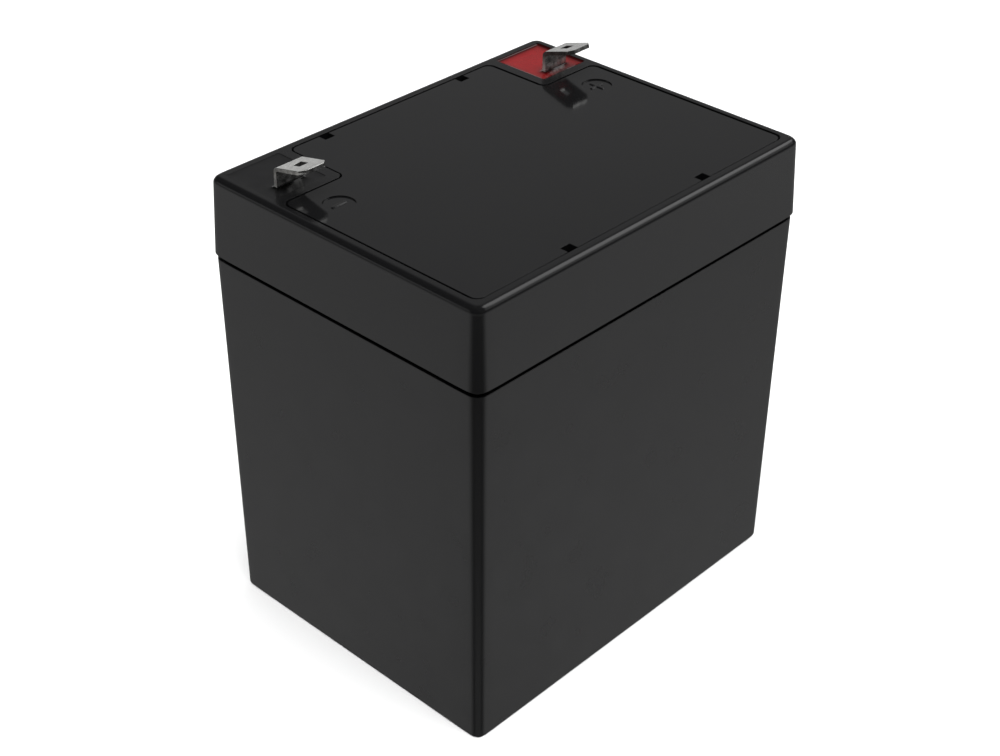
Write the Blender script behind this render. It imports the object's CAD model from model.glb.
# Looks of the sealed lead acid battery: shells, cover, blades and epoxy with their finish,
# on a pale floor under soft light. All lengths are in metres.
import math

import bmesh
import bpy
from mathutils import Matrix, Vector

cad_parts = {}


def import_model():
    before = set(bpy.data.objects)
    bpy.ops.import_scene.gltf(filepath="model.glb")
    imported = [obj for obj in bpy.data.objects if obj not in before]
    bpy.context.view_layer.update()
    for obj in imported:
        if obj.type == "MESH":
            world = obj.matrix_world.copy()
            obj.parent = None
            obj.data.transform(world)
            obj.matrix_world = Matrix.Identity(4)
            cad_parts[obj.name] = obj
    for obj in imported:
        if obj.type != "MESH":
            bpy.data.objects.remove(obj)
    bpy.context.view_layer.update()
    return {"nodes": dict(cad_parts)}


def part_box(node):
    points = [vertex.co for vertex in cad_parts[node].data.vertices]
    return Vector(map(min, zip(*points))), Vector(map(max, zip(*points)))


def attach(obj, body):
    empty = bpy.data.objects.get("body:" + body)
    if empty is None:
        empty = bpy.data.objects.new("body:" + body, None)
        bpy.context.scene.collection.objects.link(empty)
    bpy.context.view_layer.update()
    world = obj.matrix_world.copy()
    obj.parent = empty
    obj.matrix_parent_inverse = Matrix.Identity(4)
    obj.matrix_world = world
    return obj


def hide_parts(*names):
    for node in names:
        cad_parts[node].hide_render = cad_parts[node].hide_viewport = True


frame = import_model()
CONTAINER_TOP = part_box("container")[1].z
LID_LOW, LID_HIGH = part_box("lid")
COVER_LOW, COVER_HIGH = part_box("vent_cover")
POCKET_LOW, POCKET_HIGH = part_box("positive_epoxy")
BLACK_EPOXY_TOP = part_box("negative_epoxy")[1].z

MM = 0.001
ARC_STEPS = 10
CORNER_STEPS = 16

# Shells
CORNER_REACH = 5.5 * MM
CORNER_POWER = 4.4
CORNER_TIGHTEN = 1.6
INNER_RADIUS = 1.5 * MM
LID_DRAFT = math.radians(2.5)
LID_EDGE = 1.4 * MM
LID_LIP = 0.25 * MM
CASE_OVERLAP = 0.35 * MM
CASE_DRAFT = math.radians(0.4)
CASE_BOTTOM_EDGE = 0.4 * MM
CASE_SHOULDER_EDGE = 0.1 * MM
SEAM = 0.9 * MM
SKIRT_WALL = 1.5 * MM
RIM_CLEARANCE = 0.15 * MM
GLUE = 0.4 * MM

# Vent cover and what the lid leaves open
COVER_RADIUS = 1.6 * MM
COVER_GAP = 0.3 * MM
COVER_LEDGE = 1.4 * MM
LEAST_RADIUS = 0.3 * MM
COVER_PLAY = 0.2 * MM
POCKET_WALL_X = 2.5 * MM
POCKET_WALL_Y = 2.3 * MM
POCKET_RADIUS = 0.6 * MM
NOTCH_LENGTH = 2.4 * MM
NOTCH_DEPTH = 1.8 * MM
NOTCH_OFFSET = 18.3 * MM
TRAY_DEPTH = 6 * MM

# Polarity marks
MARK_X = 34.9 * MM
MARK_Y = 9.1 * MM
MARK_RADIUS = 3.1 * MM
MARK_DEPTH = 0.25 * MM
MARK_POINTS = 60
BAR_LENGTH = 3.6 * MM
BAR_WIDTH = 0.65 * MM
BAR_HEIGHT = 0.22 * MM
BAR_ROOT = 0.4 * MM
BAR_EDGE = 0.18 * MM

# Blades
BLADE_WIDTH = 6.35 * MM
BLADE_SHEET = 0.8 * MM
BLADE_BEND = 0.9 * MM
BLADE_RISE = 4.3 * MM
BLADE_SETBACK = 3 * MM
POST_SETBACK = 7.3 * MM
FOOT_END = 3 * MM
TAB_LENGTH = 7.01 * MM
TAB_CHAMFER = 1 * MM
TAB_HOLE = 2 * MM
TAB_HOLE_OFFSET = 1.9 * MM
FLAT_LEAN = 0.9
BLADE_TOP = LID_HIGH.z + BLADE_RISE
POSITIVE_TILT = math.radians(17)
NEGATIVE_TILT = math.radians(13)

# Epoxy
RED_CLIMB = 0.45 * MM
BLACK_CLIMB = 0.1 * MM
MENISCUS_REACH = 0.6 * MM
BLADE_CLIMB = 0.35 * MM
BLADE_REACH = 0.55 * MM
BLACK_FILL = 0.18 * MM
RIM_MARGIN = 0.05 * MM
RED_TOP = POCKET_HIGH.z
BLACK_TOP = BLACK_EPOXY_TOP + BLACK_FILL
EPOXY_DEPTH = 3 * MM
EPOXY_CELLS = 100

# Light, floor and backdrop
BATTERY_MIDDLE = Vector((0, 0, 50)) * MM
BACKDROP = (0.97, 0.97, 0.97)
FLOOR_SIZE = 12
FLOOR_DEPTH = 10 * MM
FLOOR_WHITE = (0.86, 0.86, 0.86)
FLOOR_LIGHTER = (0.88, 0.88, 0.88)

# Camera, fitted to the edges of the battery in the photograph
CAMERA_PLACE = Vector((-224.25, -208.56, 250.00)) * MM
CAMERA_YAW = 0.8160
CAMERA_PITCH = 0.5875
CAMERA_ROLL = 0.0075
FOCAL_PIXELS = 1825.8
IMAGE_WIDTH = 1000

# Finishes
BLACK = (0.0040, 0.0040, 0.0042)
SOFT_BLACK = (0.0050, 0.0050, 0.0053)
COVER_BLACK = (0.0048, 0.0048, 0.0051)
SHELL_EDGE = 0.05 * MM
LID_CUT_EDGE = 0.06 * MM
COVER_EDGE = 0.10 * MM
BLADE_EDGE = 0.09 * MM
SHEARED_SLOT = 1
DULL_SLOT = 2
FILM_START = 0.02 * MM
FILM_FULL = 0.25 * MM
FLUX_END = BLADE_TOP - 4.2 * MM
BARE_START = BLADE_TOP - 0.8 * MM


# Mesh helpers

def arc(centre, radius, start, end, steps=ARC_STEPS):
    """Points of an arc, from one angle to another in degrees."""
    points = []
    for k in range(steps + 1):
        angle = math.radians(start + (end - start) * k / steps)
        points.append((centre[0] + radius * math.cos(angle), centre[1] + radius * math.sin(angle)))
    return points


def rounded_rect(length, width, radius, centre=(0, 0)):
    """Outline of a rectangle with rounded corners, counter-clockwise."""
    x, y = length / 2 - radius, width / 2 - radius
    corners = ((x, y, 0), (-x, y, 90), (-x, -y, 180), (x, -y, 270))
    outline = []
    for cx, cy, start in corners:
        outline += arc((centre[0] + cx, centre[1] + cy), radius, start, start + 90)
    return outline


def link(name, bm):
    """Mesh object from a bmesh, smooth and with its normals turned outwards."""
    bmesh.ops.recalc_face_normals(bm, faces=bm.faces)
    mesh = bpy.data.meshes.new(name)
    bm.to_mesh(mesh)
    bm.free()
    mesh.polygons.foreach_set("use_smooth", [True] * len(mesh.polygons))
    piece = bpy.data.objects.new(name, mesh)
    bpy.context.scene.collection.objects.link(piece)
    return piece


def loft(name, rings):
    """Closed solid through rings of equally many points, each a list of (x, y, z)."""
    bm = bmesh.new()
    loops = [[bm.verts.new(point) for point in ring] for ring in rings]
    for low, high in zip(loops, loops[1:]):
        for k in range(len(low)):
            after = (k + 1) % len(low)
            bm.faces.new((low[k], low[after], high[after], high[k]))
    bm.faces.new(loops[0][::-1])
    bm.faces.new(loops[-1])
    return link(name, bm)


def prism(name, outline, low, high):
    """Straight solid over an outline."""
    return loft(name, [[(x, y, z) for x, y in outline] for z in (low, high)])


def box_outline(centre, length, width):
    """Outline of a rectangle, counter-clockwise."""
    x, y = length / 2, width / 2
    return [(centre[0] + a * x, centre[1] + b * y) for a, b in ((1, 1), (-1, 1), (-1, -1), (1, -1))]


def combine(piece, tools, operation):
    """Applies a boolean with each tool in turn, and deletes the tools."""
    for tool in tools:
        step = piece.modifiers.new("cut", "BOOLEAN")
        step.operation = operation
        step.solver = "EXACT"
        step.object = tool
        apply_modifiers(piece)
        bpy.data.objects.remove(tool)
    return piece


def apply_modifiers(piece):
    """Writes the piece's modifiers into its mesh."""
    graph = bpy.context.evaluated_depsgraph_get()
    mesh = bpy.data.meshes.new_from_object(piece.evaluated_get(graph))
    piece.modifiers.clear()
    old, piece.data = piece.data, mesh
    bpy.data.meshes.remove(old)


def round_edges(piece, width, segments=3, angle=32):
    """Small rounding on every edge sharper than the angle, with flat faces kept flat."""
    bevel = piece.modifiers.new("edges", "BEVEL")
    bevel.width = width
    bevel.segments = segments
    bevel.limit_method = "ANGLE"
    bevel.angle_limit = math.radians(angle)
    bevel.miter_outer = "MITER_ARC"
    bevel.use_clamp_overlap = True
    apply_modifiers(piece)
    piece.data.polygons.foreach_set("use_smooth", [True] * len(piece.data.polygons))
    normals = piece.modifiers.new("normals", "WEIGHTED_NORMAL")
    normals.keep_sharp = True
    normals.weight = 100
    apply_modifiers(piece)
    return piece


def dress(piece, material, slot, *nodes):
    """Gives a piece its material, and its place in the frame."""
    piece.data.materials.clear()
    piece.data.materials.append(material)
    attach(piece, "root")
    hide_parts(*nodes)
    return piece


# Material helpers

def new_material(name, colour, roughness, **sockets):
    """Principled material, with its node tree and shader for the detail that is added next."""
    material = bpy.data.materials.new(name)
    material.use_nodes = True
    tree = material.node_tree
    shader = tree.nodes["Principled BSDF"]
    shader.inputs["Base Color"].default_value = (*colour, 1)
    shader.inputs["Roughness"].default_value = roughness
    for socket, value in sockets.items():
        shader.inputs[socket.replace("_", " ")].default_value = value
    return material, tree, shader


def noise(tree, scale, detail=4, rough=0.55, stretch=(1, 1, 1)):
    """Noise on the object's own coordinates; the scale is in cells per metre."""
    place = tree.nodes.new("ShaderNodeTexCoord")
    mapping = tree.nodes.new("ShaderNodeMapping")
    mapping.inputs["Scale"].default_value = stretch
    texture = tree.nodes.new("ShaderNodeTexNoise")
    texture.inputs["Scale"].default_value = scale
    texture.inputs["Detail"].default_value = detail
    texture.inputs["Roughness"].default_value = rough
    tree.links.new(place.outputs["Object"], mapping.inputs["Vector"])
    tree.links.new(mapping.outputs["Vector"], texture.inputs["Vector"])
    return texture.outputs["Fac"]


def map_range(tree, value, low, high, from_low=0.3, from_high=0.7):
    """Maps a value to a range, by default from the middle of what a noise gives."""
    node = tree.nodes.new("ShaderNodeMapRange")
    node.inputs["From Min"].default_value = from_low
    node.inputs["From Max"].default_value = from_high
    node.inputs["To Min"].default_value = low
    node.inputs["To Max"].default_value = high
    tree.links.new(value, node.inputs["Value"])
    return node.outputs["Result"]


def height_share(tree, low, high):
    """Share from 0 to 1 while the height on the piece goes from low to high."""
    place = tree.nodes.new("ShaderNodeTexCoord")
    split = tree.nodes.new("ShaderNodeSeparateXYZ")
    tree.links.new(place.outputs["Object"], split.inputs["Vector"])
    return map_range(tree, split.outputs["Z"], 0, 1, low, high)


def mix_colours(tree, factor, first, second):
    """Colour between two colours, each given by its parts or a node's output."""
    node = tree.nodes.new("ShaderNodeMix")
    node.data_type = "RGBA"
    colours = [socket for socket in node.inputs if socket.type == "RGBA"]
    for socket, colour in zip(colours, (first, second)):
        if isinstance(colour, tuple):
            socket.default_value = (*colour, 1)
        else:
            tree.links.new(colour, socket)
    tree.links.new(factor, node.inputs["Factor"])
    return next(socket for socket in node.outputs if socket.type == "RGBA")


def add_bump(tree, shader, height, strength, distance):
    """Adds a height to the shader's bump, over any bump it has already."""
    bump = tree.nodes.new("ShaderNodeBump")
    bump.inputs["Strength"].default_value = strength
    bump.inputs["Distance"].default_value = distance
    tree.links.new(height, bump.inputs["Height"])
    before = shader.inputs["Normal"].links
    if before:
        tree.links.new(before[0].from_socket, bump.inputs["Normal"])
    tree.links.new(bump.outputs["Normal"], shader.inputs["Normal"])


def plastic(name, colour, lighter, specular, roughness, grain, waviness):
    """Moulded black plastic: faint mottling, a fine grain and long soft waves."""
    material, tree, shader = new_material(name, colour, roughness, Specular_IOR_Level=specular)
    mottle = noise(tree, 60)
    tree.links.new(mix_colours(tree, mottle, colour, lighter), shader.inputs["Base Color"])
    finish = map_range(tree, noise(tree, 140), roughness * 0.9, roughness * 1.12)
    tree.links.new(finish, shader.inputs["Roughness"])
    add_bump(tree, shader, noise(tree, 35, detail=1), waviness, 0.5 * MM)
    add_bump(tree, shader, noise(tree, 4200, detail=2), grain, 0.02 * MM)
    return material


def epoxy(name, deep, light, thin, film_low, film_high, roughness, specular):
    """Poured epoxy: glossy, with slow clouding, and dark where it climbs in a thin film."""
    material, tree, shader = new_material(name, deep, roughness, Specular_IOR_Level=specular)
    cloud = map_range(tree, noise(tree, 180, detail=3), 0, 1)
    body = mix_colours(tree, cloud, deep, light)
    film = height_share(tree, film_low, film_high)
    tree.links.new(mix_colours(tree, film, body, thin), shader.inputs["Base Color"])
    finish = map_range(tree, noise(tree, 400), roughness * 0.8, roughness * 1.3)
    tree.links.new(finish, shader.inputs["Roughness"])
    add_bump(tree, shader, noise(tree, 220, detail=1), 0.25, 0.3 * MM)
    return material


def metal(name, bright, dull, roughness, grain_scale, stretch, bump):
    """Metal with patches, and grain along one direction."""
    material, tree, shader = new_material(name, bright, roughness, Metallic=1.0)
    patches = map_range(tree, noise(tree, 900, detail=5), 0, 1, 0.35, 0.65)
    tree.links.new(mix_colours(tree, patches, bright, dull), shader.inputs["Base Color"])
    finish = map_range(tree, noise(tree, 1500, detail=4), roughness * 0.7, roughness * 1.4)
    tree.links.new(finish, shader.inputs["Roughness"])
    add_bump(tree, shader, noise(tree, grain_scale, detail=3, stretch=stretch), bump, 0.03 * MM)
    return material


def rough_matter(name, colour, other, roughness, scale, bump):
    """Paste, mat, rubber or glue: two close colours and a fine uneven surface."""
    material, tree, shader = new_material(name, colour, roughness)
    grain = map_range(tree, noise(tree, scale, detail=6), 0, 1)
    tree.links.new(mix_colours(tree, grain, colour, other), shader.inputs["Base Color"])
    add_bump(tree, shader, noise(tree, scale * 2, detail=4), bump, 0.1 * MM)
    return material


def sheared(name, bright, dull, roughness, low, high):
    """Sheared side of the strip: pale with flux at the foot, and bare metal from the bend on."""
    material = metal(name, bright, dull, roughness, 900, (1, 1, 6), 0.5)
    tree = material.node_tree
    tree.links.new(height_share(tree, low, high), tree.nodes["Principled BSDF"].inputs["Metallic"])
    return material


CASE_PLASTIC = plastic("case_plastic", BLACK, SOFT_BLACK, 0.42, 0.25, 0.12, 0.02)
LID_PLASTIC = plastic("lid_plastic", BLACK, SOFT_BLACK, 0.42, 0.20, 0.08, 0.02)
COVER_PLASTIC = plastic("cover_plastic", BLACK, COVER_BLACK, 0.5, 0.10, 0.015, 0.012)
RED_EPOXY = epoxy(
    "red_epoxy", (0.125, 0.0010, 0.0015), (0.170, 0.003, 0.0045), (0.018, 0.0005, 0.0006),
    RED_TOP + FILM_START, RED_TOP + FILM_FULL, 0.12, 0.6,
)
BLACK_EPOXY = epoxy(
    "black_epoxy", (0.0030, 0.0030, 0.0032), (0.0045, 0.0045, 0.0048), (0.002, 0.002, 0.002),
    BLACK_TOP + FILM_START, LID_HIGH.z, 0.14, 0.32,
)
TIN = metal("tin", (0.76, 0.76, 0.74), (0.66, 0.66, 0.64), 0.20, 900, (1, 4, 1), 0.16)
TARNISHED_TIN = metal("tarnished_tin", (0.50, 0.50, 0.49), (0.38, 0.38, 0.37), 0.22, 900, (1, 4, 1), 0.2)
DULL_TIN = metal("dull_tin", (0.60, 0.60, 0.59), (0.17, 0.17, 0.167), 0.28, 1400, (1, 1, 1), 0.6)
SHEARED_TIN = sheared(
    "sheared_tin", (0.50, 0.49, 0.47), (0.24, 0.235, 0.225), 0.40,
    FLUX_END, BARE_START,
)
POSITIVE_LEAD = rough_matter("positive_lead", (0.10, 0.055, 0.040), (0.15, 0.085, 0.065), 0.85, 900, 0.5)
NEGATIVE_LEAD = metal("negative_lead", (0.24, 0.25, 0.27), (0.17, 0.18, 0.20), 0.5, 1200, (1, 1, 1), 0.6)
GLASS_MAT = rough_matter("glass_mat", (0.82, 0.82, 0.78), (0.72, 0.72, 0.68), 0.95, 1600, 0.7)
RUBBER = rough_matter("rubber", (0.020, 0.020, 0.020), (0.030, 0.030, 0.030), 0.65, 1200, 0.2)
ADHESIVE = rough_matter("adhesive", (0.10, 0.09, 0.07), (0.14, 0.12, 0.09), 0.4, 500, 0.3)


# Container

def soft_corner(reach):
    """Corner between two walls that turns slowly at its ends and fastest in the middle."""
    points = []
    for k in range(CORNER_STEPS + 1):
        angle = math.radians(90 * k / CORNER_STEPS)
        along, across = max(math.cos(angle), 0), max(math.sin(angle), 0)
        share = CORNER_POWER - 1
        size = along ** (CORNER_POWER / share) + across ** (CORNER_POWER / share)
        size = reach / size ** (1 / CORNER_POWER)
        points.append((size * along ** (1 / share), size * across ** (1 / share)))
    return points


def shell_ring(inset, z):
    """Ring of a shell at one height, moved in from the lid's largest outline, with tighter corners."""
    reach = CORNER_REACH - CORNER_TIGHTEN * inset
    x, y = LID_HIGH.x - inset - reach, LID_HIGH.y - inset - reach
    ring = []
    for turn, (cx, cy) in enumerate(((x, y), (-x, y), (-x, -y), (x, -y))):
        for u, v in soft_corner(reach):
            for _ in range(turn):
                u, v = -v, u
            ring.append((cx + u, cy + v, z))
    return ring


def container():
    """Drafted box with rounded bottom and shoulder edges, and the rim inside the lid."""
    shoulder = LID_LOW.z - SEAM
    bottom_inset = CASE_OVERLAP + shoulder * math.tan(CASE_DRAFT)
    rings = []
    for depth, z in arc((0, CASE_BOTTOM_EDGE), CASE_BOTTOM_EDGE, 270, 360, 4):
        rings.append(shell_ring(bottom_inset + CASE_BOTTOM_EDGE - depth, z))
    for depth, z in arc((0, shoulder - CASE_SHOULDER_EDGE), CASE_SHOULDER_EDGE, 0, 90, 3):
        rings.append(shell_ring(CASE_OVERLAP + CASE_SHOULDER_EDGE - depth, z))
    rim_inset = SKIRT_WALL + RIM_CLEARANCE
    rings.append(shell_ring(rim_inset, shoulder))
    rings.append(shell_ring(rim_inset, CONTAINER_TOP))
    piece = loft("container_shell", rings)
    round_edges(piece, SHELL_EDGE, segments=1)
    return dress(piece, CASE_PLASTIC, "case_plastic", "container")


# Lid

def cover_outline(grow):
    """Outline of the vent cover, grown by a distance: a rectangle less the two terminal corners."""
    x, y = COVER_HIGH.x + grow, COVER_HIGH.y + grow
    step_x = POCKET_LOW.x - POCKET_WALL_X + grow
    step_y = POCKET_LOW.y - POCKET_WALL_Y + grow
    outer = max(COVER_RADIUS + grow, LEAST_RADIUS)
    inner = max(COVER_RADIUS - grow, LEAST_RADIUS)
    return (
        arc((x - outer, outer - y), outer, -90, 0)
        + arc((x - outer, step_y - outer), outer, 0, 90)
        + arc((step_x + inner, step_y + inner), inner, 270, 180)
        + arc((step_x - outer, y - outer), outer, 0, 90)
        + arc((outer - step_x, y - outer), outer, 90, 180)
        + arc((-step_x - inner, step_y + inner), inner, 0, -90)
        + arc((outer - x, step_y - outer), outer, 90, 180)
        + arc((outer - x, outer - y), outer, 180, 270)
    )


def pocket_outline(side):
    """Outline of a terminal pocket: side is -1 at the negative terminal and 1 at the positive one."""
    length = POCKET_HIGH.x - POCKET_LOW.x
    width = POCKET_HIGH.y - POCKET_LOW.y
    centre = (side * (POCKET_LOW.x + POCKET_HIGH.x) / 2, (POCKET_LOW.y + POCKET_HIGH.y) / 2)
    return rounded_rect(length, width, POCKET_RADIUS, centre)


def lid():
    """Drafted skirt with a rounded top edge, open below, with the seat of the cover and the two pockets."""
    height = LID_HIGH.z - LID_LOW.z
    rings = []
    for depth, z in arc((0, LID_LIP), LID_LIP, 270, 360, 3):
        rings.append(shell_ring(LID_LIP - depth, LID_LOW.z + z))
    top_inset = height * math.tan(LID_DRAFT)
    for depth, z in arc((0, height - LID_EDGE), LID_EDGE, 0, 90, 8):
        rings.append(shell_ring(top_inset + LID_EDGE - depth, LID_LOW.z + z))
    piece = loft("lid_shell", rings)
    open_length = LID_HIGH.x - LID_LOW.x - 2 * SKIRT_WALL
    open_width = LID_HIGH.y - LID_LOW.y - 2 * SKIRT_WALL
    under = CONTAINER_TOP + GLUE
    above = LID_HIGH.z + MM
    tools = [
        prism("hollow", rounded_rect(open_length, open_width, INNER_RADIUS), LID_LOW.z - MM, under),
        prism("seat", cover_outline(COVER_GAP), COVER_LOW.z, above),
        prism("tray", cover_outline(-COVER_LEDGE), COVER_LOW.z - TRAY_DEPTH, above),
    ]
    for side in (-1, 1):
        tools.append(prism("pocket", pocket_outline(side), POCKET_LOW.z, above))
    combine(piece, tools, "DIFFERENCE")
    round_edges(piece, LID_CUT_EDGE, segments=2)
    return dress(piece, LID_PLASTIC, "case_plastic", "lid")


# Vent cover

def vent_cover():
    """Flat cover with four gas notches, and a polarity mark sunk in at each end."""
    outline = [(x * (1 - COVER_PLAY / COVER_HIGH.x), y) for x, y in cover_outline(0)]
    piece = prism("vent_cover_plate", outline, COVER_LOW.z, COVER_HIGH.z)
    low, high = COVER_LOW.z - MM, COVER_HIGH.z + MM
    tools = []
    for x in (-NOTCH_OFFSET, NOTCH_OFFSET):
        for edge in (COVER_LOW.y, COVER_HIGH.y):
            tools.append(prism("notch", box_outline((x, edge), NOTCH_LENGTH, 2 * NOTCH_DEPTH), low, high))
    for side in (-1, 1):
        disc = arc((side * MARK_X, MARK_Y), MARK_RADIUS, 0, 360 - 360 / MARK_POINTS, MARK_POINTS - 1)
        tools.append(prism("disc", disc, COVER_HIGH.z - MARK_DEPTH, high))
    combine(piece, tools, "DIFFERENCE")
    combine(piece, polarity_bars(), "UNION")
    round_edges(piece, COVER_EDGE)
    return dress(piece, COVER_PLASTIC, "cover_plastic", "vent_cover")


def polarity_bars():
    """Raised bars in the sunk discs: a minus at -X and a plus at +X."""
    low = COVER_HIGH.z - MARK_DEPTH - BAR_ROOT
    high = COVER_HIGH.z - MARK_DEPTH + BAR_HEIGHT
    minus = prism("bar", box_outline((-MARK_X, MARK_Y), BAR_LENGTH, BAR_WIDTH), low, high)
    half = BAR_WIDTH / 2
    reach = BAR_LENGTH / 2
    quarter = [(reach, half), (half, half), (half, reach)]
    cross = []
    for turn in range(4):
        spin = Matrix.Rotation(math.radians(90 * turn), 2)
        cross += [tuple(spin @ Vector(point)) for point in quarter]
    plus = prism("cross", [(MARK_X + x, MARK_Y + y) for x, y in cross], low, high)
    return [round_edges(bar, BAR_EDGE, segments=4) for bar in (minus, plus)]


# Terminals

def strip_outline(tilt):
    """Side view of the bent strip as (distance towards -Y, height): foot, upright and tilted tab."""
    half = BLADE_SHEET / 2
    inside, outside = BLADE_BEND - half, BLADE_BEND + half
    foot_z = POCKET_LOW.z + half
    bend_z = BLADE_TOP - BLADE_BEND - half
    low, high = (-BLADE_BEND, foot_z + BLADE_BEND), (BLADE_BEND, bend_z)
    foot = BLADE_SETBACK - POST_SETBACK - FOOT_END
    end = 90 + math.degrees(tilt)
    tips = []
    for radius in (outside, inside):
        along = high[0] - radius * math.sin(tilt) + TAB_LENGTH * math.cos(tilt)
        tips.append((along, high[1] + radius * math.cos(tilt) + TAB_LENGTH * math.sin(tilt)))
    return (
        [(foot, foot_z - half), (foot, foot_z + half)]
        + arc(low, inside, -90, 0)
        + arc(high, outside, 180, end)
        + tips
        + arc(high, inside, end, 180)
        + arc(low, outside, 0, -90)
    )


def terminal(name, tilt, tin, node):
    """Tinned strip bent at the foot and over the lid, with cut corners and a square hole."""
    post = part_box(node)
    x = (post[0].x + post[1].x) / 2
    y = POCKET_LOW.y + BLADE_SETBACK
    outline = strip_outline(tilt)
    ends = (x - BLADE_WIDTH / 2, x + BLADE_WIDTH / 2)
    piece = loft(name, [[(end, y - along, z) for along, z in outline] for end in ends])
    bend_z = BLADE_TOP - BLADE_BEND - BLADE_SHEET / 2
    place = Matrix.Translation((x, y - BLADE_BEND, bend_z)) @ Matrix.Rotation(-tilt, 4, "X")
    reach = 2 * BLADE_BEND
    tools = [prism("hole", box_outline((0, -TAB_HOLE_OFFSET - TAB_HOLE / 2), TAB_HOLE, TAB_HOLE), 0, reach)]
    cut = ((TAB_CHAMFER, 0), (0, TAB_CHAMFER), (-TAB_CHAMFER, 0), (0, -TAB_CHAMFER))
    for end in (-1, 1):
        corner = (end * BLADE_WIDTH / 2, -TAB_LENGTH)
        wedge = [(corner[0] + a, corner[1] + b) for a, b in cut]
        tools.append(prism("corner", wedge, -reach, reach))
    for tool in tools:
        tool.data.transform(place)
    combine(piece, tools, "DIFFERENCE")
    round_edges(piece, BLADE_EDGE, segments=2, angle=40)
    dress(piece, tin, "tinned_metal", node)
    piece.data.materials.append(SHEARED_TIN)
    piece.data.materials.append(DULL_TIN)
    for face in piece.data.polygons:
        if abs(face.normal.x) > FLAT_LEAN:
            face.material_index = SHEARED_SLOT
        elif abs(face.normal.y) > FLAT_LEAN:
            face.material_index = DULL_SLOT
    return piece


# Epoxy

def edge_loop(grid):
    """Border of a square grid of vertices, once round."""
    near, far = grid[0][:-1], grid[-1][:0:-1]
    right, left = [row[-1] for row in grid[:-1]], [row[0] for row in grid[:0:-1]]
    return near + right + far + left


def epoxy_fill(name, side, top, climb, material, slot, node, blade_node):
    """Epoxy that fills a pocket, and climbs a little at its walls and at the blade."""
    centre_x = side * (POCKET_LOW.x + POCKET_HIGH.x) / 2
    low = Vector((centre_x - (POCKET_HIGH.x - POCKET_LOW.x) / 2, POCKET_LOW.y))
    size = Vector((POCKET_HIGH.x - POCKET_LOW.x, POCKET_HIGH.y - POCKET_LOW.y))
    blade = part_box(blade_node)
    blade_x = (blade[0].x + blade[1].x) / 2
    blade_y = POCKET_LOW.y + BLADE_SETBACK
    wall_rise = min(climb, LID_HIGH.z - top - RIM_MARGIN)
    bm = bmesh.new()
    grid = []
    for j in range(EPOXY_CELLS + 1):
        row = []
        for i in range(EPOXY_CELLS + 1):
            x = low.x + size.x * i / EPOXY_CELLS
            y = low.y + size.y * j / EPOXY_CELLS
            wall = min(x - low.x, low.x + size.x - x, y - low.y, low.y + size.y - y)
            gap_x = max(abs(x - blade_x) - BLADE_WIDTH / 2, 0)
            gap_y = max(abs(y - blade_y) - BLADE_SHEET / 2, 0)
            rise = wall_rise * math.exp(-wall / MENISCUS_REACH)
            rise += BLADE_CLIMB * math.exp(-math.hypot(gap_x, gap_y) / BLADE_REACH)
            row.append(bm.verts.new((x, y, top + rise)))
        grid.append(row)
    for j in range(EPOXY_CELLS):
        for i in range(EPOXY_CELLS):
            bm.faces.new((grid[j][i], grid[j][i + 1], grid[j + 1][i + 1], grid[j + 1][i]))
    border = edge_loop(grid)
    floor = [bm.verts.new((v.co.x, v.co.y, top - EPOXY_DEPTH)) for v in border]
    for k in range(len(border)):
        after = (k + 1) % len(border)
        bm.faces.new((floor[k], floor[after], border[after], border[k]))
    bm.faces.new(floor[::-1])
    piece = link(name, bm)
    return dress(piece, material, slot, node)


# Hidden pieces

def dress_nodes(prefixes, material):
    """Puts a material on the nodes inside the battery, which keep their own shape."""
    for name, node in frame["nodes"].items():
        if name.startswith(prefixes):
            node.data.materials.clear()
            node.data.materials.append(material)


# Studio

def floor():
    """Pale floor that runs out of every view."""
    piece = prism("floor", box_outline((0, 0), FLOOR_SIZE, FLOOR_SIZE), -FLOOR_DEPTH, 0)
    material, tree, shader = new_material("floor", FLOOR_WHITE, 0.9)
    shade = mix_colours(tree, noise(tree, 3, detail=2), FLOOR_WHITE, FLOOR_LIGHTER)
    tree.links.new(shade, shader.inputs["Base Color"])
    piece.data.materials.append(material)
    piece.visible_glossy = False


def softbox(name, direction, distance, size, power):
    """Area light that faces the battery and isn't mirrored in it."""
    light = bpy.data.lights.new(name, "AREA")
    light.size = size
    light.energy = power
    lamp = bpy.data.objects.new(name, light)
    lamp.location = BATTERY_MIDDLE + Vector(direction).normalized() * distance
    lamp.rotation_mode = "QUATERNION"
    lamp.rotation_quaternion = Vector(direction).to_track_quat("Z", "Y")
    lamp.visible_glossy = False
    bpy.context.scene.collection.objects.link(lamp)


def math_node(tree, operation, first, second):
    """Result of a sum or another operation on two values, each a number or a node's output."""
    node = tree.nodes.new("ShaderNodeMath")
    node.operation = operation
    for socket, value in zip(node.inputs, (first, second)):
        if isinstance(value, (int, float)):
            socket.default_value = value
        else:
            tree.links.new(value, socket)
    return node.outputs["Value"]


def step_up(tree, value, low, high, strength=1.0):
    """Smooth rise from 0 to the strength while the value goes from low to high."""
    node = tree.nodes.new("ShaderNodeMapRange")
    node.interpolation_type = "SMOOTHSTEP"
    node.inputs["From Min"].default_value = low
    node.inputs["From Max"].default_value = high
    node.inputs["To Min"].default_value = 0
    node.inputs["To Max"].default_value = strength
    tree.links.new(value, node.inputs["Value"])
    return node.outputs["Result"]


def sine(degrees):
    return math.sin(math.radians(degrees))


def cosine(degrees):
    return math.cos(math.radians(degrees))


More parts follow.
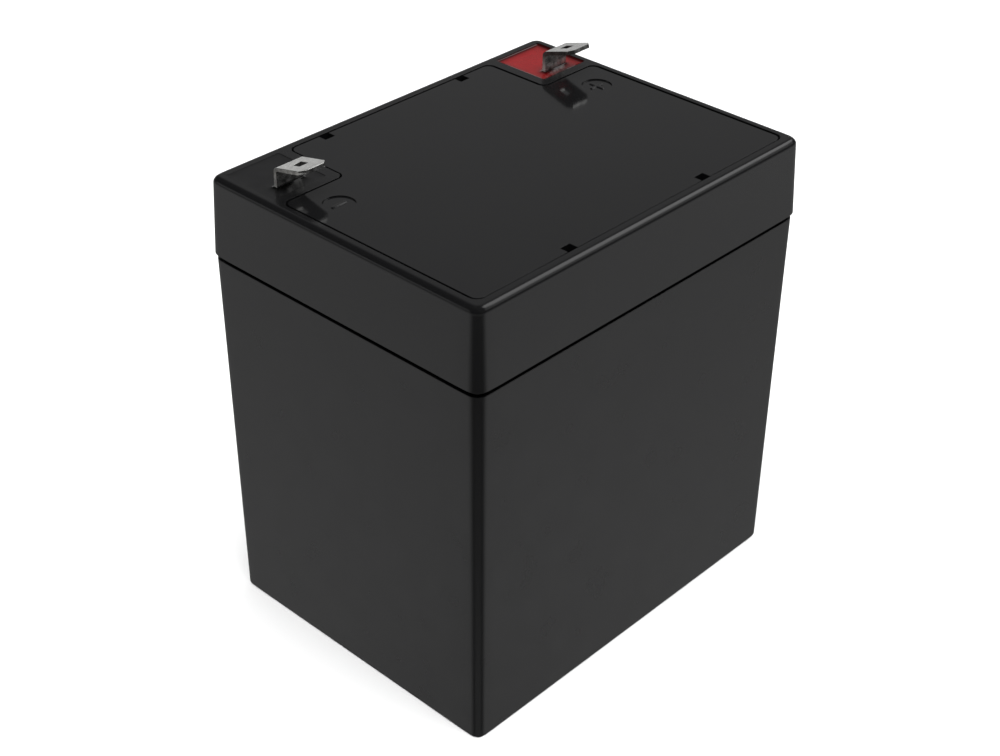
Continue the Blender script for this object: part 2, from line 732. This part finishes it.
def panel(tree, split, level, azimuth, half, soft, low, high, blur, strength):
    """Soft bright panel of the surroundings, between two azimuths and two elevations in degrees."""
    along = math_node(tree, "MULTIPLY", split.outputs["X"], cosine(azimuth))
    across = math_node(tree, "MULTIPLY", split.outputs["Y"], sine(azimuth))
    facing = math_node(tree, "DIVIDE", math_node(tree, "ADD", along, across), level)
    sides = step_up(tree, facing, cosine(min(half + soft, 179)), cosine(max(half - soft, 0)), strength)
    height = split.outputs["Z"]
    bottom = step_up(tree, height, sine(max(low - blur / 2, -90)), sine(max(low + blur / 2, -89)))
    top = step_up(tree, height, sine(min(high - blur / 2, 89)), sine(min(high + blur / 2, 90)))
    inside = math_node(tree, "SUBTRACT", bottom, top)
    return math_node(tree, "MULTIPLY", sides, inside)


# Panels round the battery: middle azimuth, half width and softness at the sides,
# lower and upper elevation and softness there, brightness
PANELS = (
    (130, 32, 22, -52, -18, 26, 0.50),
    (142, 12, 10, -52, -18, 26, 0.17),
    (-38, 32, 22, -52, -18, 26, 0.43),
    (-52, 12, 10, -52, -18, 26, 0.28),
    (-134, 40, 16, -95, -40, 8, 0.40),
    (43, 24, 12, 14, 62, 12, 0.262),
    (50, 45, 8, -12, 10, 8, 0.78),
    (-20, 22, 5, 31, 60, 5, 3.10),
    (-45, 12, 8, 12, 34, 8, 0.80),
    (138, 12, 6, 3, 14, 6, 0.85),
    (45, 178, 1, -24, -4, 6, 0.32),
)
SURROUNDINGS = 0.03


def world():
    """Surroundings that the battery mirrors, behind a plain pale backdrop."""
    scene_world = bpy.data.worlds.new("studio")
    bpy.context.scene.world = scene_world
    scene_world.use_nodes = True
    tree = scene_world.node_tree
    tree.nodes.clear()
    place = tree.nodes.new("ShaderNodeTexCoord")
    split = tree.nodes.new("ShaderNodeSeparateXYZ")
    tree.links.new(place.outputs["Generated"], split.inputs["Vector"])
    squares = [math_node(tree, "POWER", split.outputs[axis], 2) for axis in ("X", "Y")]
    level = math_node(tree, "SQRT", math_node(tree, "ADD", *squares), 0)
    total = SURROUNDINGS
    for values in PANELS:
        total = math_node(tree, "ADD", panel(tree, split, level, *values), total)
    mirrored = tree.nodes.new("ShaderNodeBackground")
    tree.links.new(total, mirrored.inputs["Strength"])
    backdrop = tree.nodes.new("ShaderNodeBackground")
    backdrop.inputs["Color"].default_value = (*BACKDROP, 1)
    backdrop.inputs["Strength"].default_value = 1.0
    rays = tree.nodes.new("ShaderNodeLightPath")
    mix = tree.nodes.new("ShaderNodeMixShader")
    out = tree.nodes.new("ShaderNodeOutputWorld")
    tree.links.new(rays.outputs["Is Camera Ray"], mix.inputs["Fac"])
    tree.links.new(mirrored.outputs["Background"], mix.inputs[1])
    tree.links.new(backdrop.outputs["Background"], mix.inputs[2])
    tree.links.new(mix.outputs["Shader"], out.inputs["Surface"])


def camera():
    """Camera at the photograph's place, without shift."""
    level = Vector((math.sin(CAMERA_YAW), math.cos(CAMERA_YAW), 0))
    forward = level * math.cos(CAMERA_PITCH) - Vector((0, 0, math.sin(CAMERA_PITCH)))
    right = Vector((math.cos(CAMERA_YAW), -math.sin(CAMERA_YAW), 0))
    up = right.cross(forward)
    turn = math.cos(CAMERA_ROLL), math.sin(CAMERA_ROLL)
    axes = Matrix((right * turn[0] + up * turn[1], up * turn[0] - right * turn[1], -forward)).transposed()
    data = bpy.data.cameras.new("camera")
    data.sensor_width = 36
    data.lens = data.sensor_width * FOCAL_PIXELS / IMAGE_WIDTH
    data.clip_start = 0.01
    data.clip_end = 50
    eye = bpy.data.objects.new("camera", data)
    eye.matrix_world = Matrix.Translation(CAMERA_PLACE) @ axes.to_4x4()
    bpy.context.scene.collection.objects.link(eye)
    bpy.context.scene.camera = eye


camera()
floor()
world()
softbox("top_softbox", (-0.1, -0.15, 1.0), 1.6, 1.6, 60)
bpy.context.scene.view_settings.view_transform = "Standard"
bpy.context.scene.cycles.use_denoising = True

container()
lid()
vent_cover()
terminal("positive_blade", POSITIVE_TILT, TARNISHED_TIN, "positive_terminal")
terminal("negative_blade", NEGATIVE_TILT, TIN, "negative_terminal")
epoxy_fill(
    "red_fill", 1, RED_TOP, RED_CLIMB, RED_EPOXY,
    "red_epoxy", "positive_epoxy", "positive_terminal",
)
epoxy_fill(
    "black_fill", -1, BLACK_TOP, BLACK_CLIMB, BLACK_EPOXY,
    "black_epoxy", "negative_epoxy", "negative_terminal",
)
dress_nodes(("valve_cap", "positive_post_seal", "negative_post_seal"), RUBBER)
dress_nodes("positive_plates", POSITIVE_LEAD)
dress_nodes(("negative_plates", "cell_weld"), NEGATIVE_LEAD)
dress_nodes("glass_mat", GLASS_MAT)
dress_nodes("lid_adhesive", ADHESIVE)
